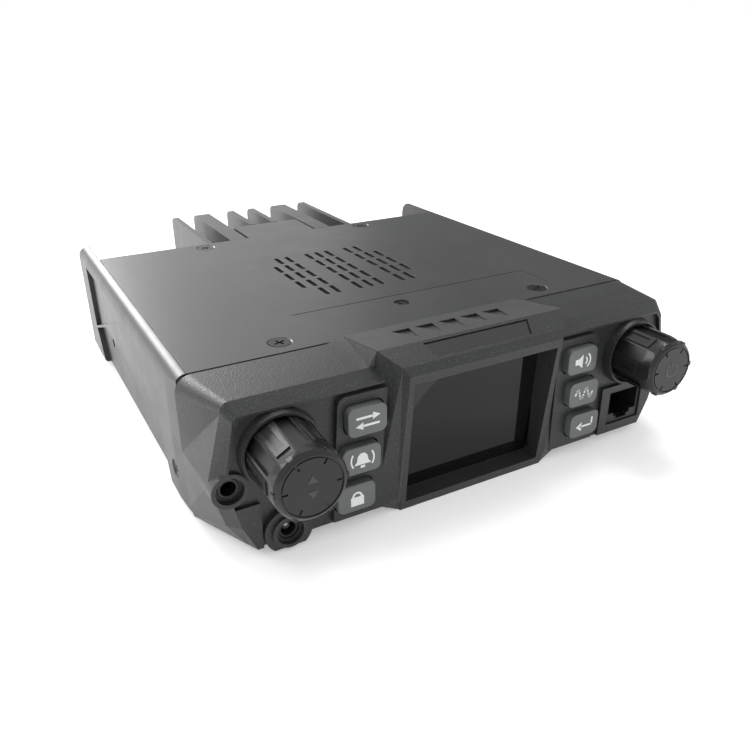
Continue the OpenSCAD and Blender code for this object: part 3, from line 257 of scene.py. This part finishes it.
def shading_group(limit):
    """Node group that drops the imported normals, smooths the faces and keeps edges sharp above an angle."""
    group = bpy.data.node_groups.new("shade_by_angle", "GeometryNodeTree")
    group.interface.new_socket("Geometry", in_out="INPUT", socket_type="NodeSocketGeometry")
    group.interface.new_socket("Geometry", in_out="OUTPUT", socket_type="NodeSocketGeometry")
    source = add(group, "NodeGroupInput")
    target = add(group, "NodeGroupOutput")
    bare = add(group, "GeometryNodeRemoveAttribute", {"Name": "custom_normal"})
    faces = add(group, "GeometryNodeSetShadeSmooth", {"Shade Smooth": True}, domain="FACE")
    edges = add(group, "GeometryNodeSetShadeSmooth", {"Shade Smooth": False}, domain="EDGE")
    angle = add(group, "GeometryNodeInputMeshEdgeAngle")
    sharp = add(group, "FunctionNodeCompare", {1: math.radians(limit)}, data_type="FLOAT",
                operation="GREATER_THAN")
    link(group, (source.outputs[0], bare.inputs[0]), (bare.outputs[0], faces.inputs[0]),
         (faces.outputs[0], edges.inputs[0]), (angle.outputs["Unsigned Angle"], sharp.inputs[0]),
         (sharp.outputs[0], edges.inputs["Selection"]), (edges.outputs[0], target.inputs[0]))
    return group


SHADING = {limit: shading_group(limit) for limit in (SMOOTH_ANGLE, PANEL_ANGLE)}


def soften(thing, width_mm, segments, limit=SMOOTH_ANGLE):
    """Joins the faces again and rounds the sharp edges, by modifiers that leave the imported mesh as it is."""
    weld = thing.modifiers.new("weld", "WELD")
    weld.merge_threshold = WELD_GAP
    shading = thing.modifiers.new("shading", "NODES")
    shading.node_group = SHADING[limit]
    flat = thing.modifiers.new("flat", "DECIMATE")
    flat.decimate_type = "DISSOLVE"
    flat.angle_limit = math.radians(FLAT_ANGLE)
    bevel = thing.modifiers.new("round", "BEVEL")
    bevel.width = width_mm * MM
    bevel.segments = segments
    bevel.limit_method = "ANGLE"
    bevel.angle_limit = math.radians(limit)
    bevel.use_clamp_overlap = True
    bevel.harden_normals = True


for name, thing in nodes.items():
    dress(thing, slot_of[name])
    if name.startswith("key_left") or name.startswith("key_right"):
        soften(thing, KEY_ROUNDING, 4)
    else:
        limit = PANEL_ANGLE if name == "front_panel" else SMOOTH_ANGLE
        soften(thing, ROUNDING.get(name, SMALL_ROUNDING), 2, limit)

# ---------------------------------------------------------------- prints

# Half the thickness of a print, which lies half inside the face below it.
PRINT_T = 0.06 * MM


def strip(points, width):
    """Flat band of a constant width along points, as quads."""
    quads = []
    for first, second in zip(map(Vector, points), map(Vector, points[1:])):
        side = (second - first).normalized().orthogonal() * width / 2
        along = (second - first).normalized() * width * 0.25
        quads.append([first - along + side, first - along - side, second + along - side, second + along + side])
    return quads


def ring(x, z, radius, width, start, end, steps):
    """Band along an arc, as quads; its angles are in degrees."""
    quads = []
    for i in range(steps):
        spots = []
        for angle, r in ((i, -1), (i + 1, -1), (i + 1, 1), (i, 1)):
            turn = math.radians(start + (end - start) * angle / steps)
            spots.append(Vector((x + (radius + r * width / 2) * math.cos(turn),
                                 z + (radius + r * width / 2) * math.sin(turn))))
        quads.append(spots)
    return quads


def grown(polygons, gain):
    """The same polygons about their origin, gain times as large."""
    return [[(p[0] * gain, p[1] * gain) for p in polygon] for polygon in polygons]


def middle_of(box):
    """Middle of a box in X and Z."""
    return (box[0][0] + box[1][0]) / 2, (box[0][2] + box[1][2]) / 2


def add_piece(name, build, slot):
    """Turns a built mesh into a piece of the scene with the finish of a slot."""
    mesh = bpy.data.meshes.new(name)
    build.to_mesh(mesh)
    build.free()
    thing = bpy.data.objects.new(name, mesh)
    bpy.context.scene.collection.objects.link(thing)
    dress(thing, slot)
    return thing


def print_mark(name, polygons, centre, front_y, slot, body):
    """Raised print: polygons drawn in mm as seen from the front, laid on a face that looks to the front."""
    build = bmesh.new()
    for polygon in polygons:
        outer = [build.verts.new((centre[0] + x * MM, front_y - PRINT_T, centre[1] + z * MM))
                 for x, z in polygon]
        inner = [build.verts.new((v.co.x, front_y + PRINT_T, v.co.z)) for v in outer]
        build.faces.new(outer)
        build.faces.new(inner[::-1])
        for i in range(len(outer)):
            j = (i + 1) % len(outer)
            build.faces.new((outer[j], outer[i], inner[i], inner[j]))
    bmesh.ops.recalc_face_normals(build, faces=build.faces)
    thing = add_piece(name, build, slot)
    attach(thing, body)


def swap_mark():
    """Two arrows pointing opposite ways."""
    arrow = [[(-2.6, 0.65), (1.2, 0.65), (1.2, 1.15), (-2.6, 1.15)], [(1.1, 0.1), (2.8, 0.9), (1.1, 1.7)]]
    return arrow + grown(arrow, -1)


def bell_mark():
    """Bell with its clapper, between two sound arcs."""
    bell = [(-1.9, -0.9), (1.9, -0.9), (1.3, -0.1), (1.1, 1.0),
            (0.5, 1.7), (-0.5, 1.7), (-1.1, 1.0), (-1.3, -0.1)]
    clapper = [(-0.5, -1.7), (0.5, -1.7), (0.5, -1.15), (-0.5, -1.15)]
    return [bell, clapper] + ring(0, 0.2, 2.6, 0.35, -35, 35, 8) + ring(0, 0.2, 2.6, 0.35, 145, 215, 8)


def lock_mark():
    """Padlock with its shackle."""
    return [[(-1.5, -1.8), (1.5, -1.8), (1.5, 0.3), (-1.5, 0.3)]] + ring(0, 0.3, 1.0, 0.45, 0, 180, 12)


def speaker_mark():
    """Loudspeaker with two sound arcs."""
    horn = [(-2.4, -0.7), (-1.4, -0.7), (-0.2, -1.7), (-0.2, 1.7), (-1.4, 0.7), (-2.4, 0.7)]
    return [horn] + ring(0, 0, 1.1, 0.4, -50, 50, 8) + ring(0, 0, 2.1, 0.4, -50, 50, 10)


def wave_mark():
    """Two periods of a sine wave."""
    steps = 20
    points = [(-2.6 + 5.2 * i / steps, 1.3 * math.sin(4 * math.pi * i / steps)) for i in range(steps + 1)]
    return strip(points, 0.5)


def return_mark():
    """Bent arrow that points to the left."""
    return strip([(2.3, 1.4), (2.3, -0.4), (-1.2, -0.4)], 0.5) + [[(-0.9, 0.8), (-2.6, -0.4), (-0.9, -1.6)]]


KEY_MARKS = {"key_left_top": swap_mark, "key_left_middle": bell_mark, "key_left_bottom": lock_mark,
             "key_right_top": speaker_mark, "key_right_middle": wave_mark, "key_right_bottom": return_mark}
KEY_MARK_SCALE = 1.15


for key, draw in KEY_MARKS.items():
    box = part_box(key)
    print_mark(key + "_mark", grown(draw(), KEY_MARK_SCALE), middle_of(box), box[0][1], "key_print", key)

# Contact inside the earphone jack: radius, depth as a share of it, and distance from the jack's front.
CONTACT_R = 1.1 * MM
CONTACT_DEEP = 0.8
CONTACT_BACK = 1.6 * MM


def jack_contact(name, node):
    """Rounded metal contact that shows inside a jack's bore."""
    build = bmesh.new()
    bmesh.ops.create_uvsphere(build, u_segments=24, v_segments=12, radius=CONTACT_R)
    for vertex in build.verts:
        vertex.co.y = abs(vertex.co.y) * CONTACT_DEEP
    for face in build.faces:
        face.smooth = True
    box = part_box(node)
    middle = middle_of(box)
    thing = add_piece(name, build, "jack_metal")
    thing.data.transform(Matrix.Translation((middle[0], box[0][1] + CONTACT_BACK, middle[1])))
    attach(thing, "body")


jack_contact("earphone_contact", "earphone_jack")

channel_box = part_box("channel_knob")
print_mark("channel_mark", [[(-1.2, 1.0), (1.2, 1.0), (0, 2.8)], [(-1.2, -1.0), (0, -2.8), (1.2, -1.0)]],
           middle_of(channel_box), channel_box[0][1], "dark_print", "channel_dial")
power_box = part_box("power_knob")
power_bar = [(-0.22, 0.8), (0.22, 0.8), (0.22, 2.6), (-0.22, 2.6)]
print_mark("power_mark", ring(0, 0, 1.9, 0.45, 125, 415, 24) + [power_bar],
           middle_of(power_box), power_box[0][1], "dark_print", "volume_dial")

# ---------------------------------------------------------------- stage, light and camera

# The camera fitted to the photo: place, angles in degrees and lens in mm.
CAMERA_AT = Vector((-101.6, -210.5, 111.6)) * MM
CAMERA_YAW = 28.68
CAMERA_PITCH = 25.54
CAMERA_ROLL = -0.62
CAMERA_LENS = 35.47
FLOOR_HALF = 40.0


def plain_material(name, color, rough, glow):
    """Material of the studio's own cards."""
    material = bpy.data.materials.new(name)
    material.use_nodes = True
    shader = material.node_tree.nodes["Principled BSDF"]
    shader.inputs["Base Color"].default_value = (*color, 1)
    shader.inputs["Roughness"].default_value = rough
    shader.inputs["Emission Color"].default_value = (1, 1, 1, 1)
    shader.inputs["Emission Strength"].default_value = glow
    return material


def stage_card(name, corners, color, rough, glow=0.0):
    """Flat card of the studio: the floor, or a flag that keeps light away."""
    mesh = bpy.data.meshes.new(name)
    mesh.from_pydata(corners, [], [(0, 1, 2, 3)])
    card = bpy.data.objects.new(name, mesh)
    bpy.context.scene.collection.objects.link(card)
    mesh.materials.append(plain_material(name, color, rough, glow))


def build_stage():
    """Pale floor, and a dark flag behind the right of the object that darkens what the cover mirrors there."""
    far = FLOOR_HALF
    stage_card("floor", [(-far, -far, 0), (far, -far, 0), (far, far, 0), (-far, far, 0)],
               (0.85, 0.85, 0.85), 0.9, 0.30)
    middle = Vector((1.25, 0.95, 0))
    along = Vector((0.95, -1.25, 0)).normalized() * 0.75
    low, high = Vector((0, 0, 0.24)), Vector((0, 0, 1.7))
    left, right = middle - along, middle + along
    stage_card("flag", [left + low, right + low, right + high, left + high], (0.05, 0.05, 0.05), 0.9)


def aim(thing, at, target):
    """Places a thing and turns it to the target."""
    thing.location = at
    thing.rotation_euler = (Vector(target) - Vector(at)).to_track_quat("-Z", "Y").to_euler()


def area_light(name, at, target, size, power):
    """Round area light."""
    light = bpy.data.lights.new(name, "AREA")
    light.shape = "DISK"
    light.size = size
    light.energy = power
    lamp = bpy.data.objects.new(name, light)
    bpy.context.scene.collection.objects.link(lamp)
    aim(lamp, at, target)


def build_light():
    """White surroundings and three soft lights."""
    world = bpy.data.worlds.new("studio")
    bpy.context.scene.world = world
    world.use_nodes = True
    background = world.node_tree.nodes["Background"]
    background.inputs["Color"].default_value = (1, 1, 1, 1)
    background.inputs["Strength"].default_value = 1.0
    middle = (0, 0, 0.02)
    area_light("key", (-0.25, 1.35, 0.62), middle, 0.7, 16)
    area_light("side", (-0.85, 0.55, 0.8), middle, 0.5, 5)
    area_light("top", (0.25, 0.25, 1.1), middle, 0.4, 4)


def build_camera():
    """Camera at the photo's viewing angle."""
    lens = bpy.data.cameras.new("camera")
    lens.lens = CAMERA_LENS
    lens.sensor_width = 36
    lens.clip_start = 0.01
    camera = bpy.data.objects.new("camera", lens)
    bpy.context.scene.collection.objects.link(camera)
    camera.location = CAMERA_AT
    turn = (Matrix.Rotation(math.radians(-CAMERA_YAW), 3, "Z")
            @ Matrix.Rotation(math.radians(90 - CAMERA_PITCH), 3, "X")
            @ Matrix.Rotation(math.radians(CAMERA_ROLL), 3, "Z"))
    camera.rotation_euler = turn.to_euler()
    bpy.context.scene.camera = camera


build_stage()
build_light()
build_camera()
bpy.context.scene.view_settings.view_transform = "Standard"
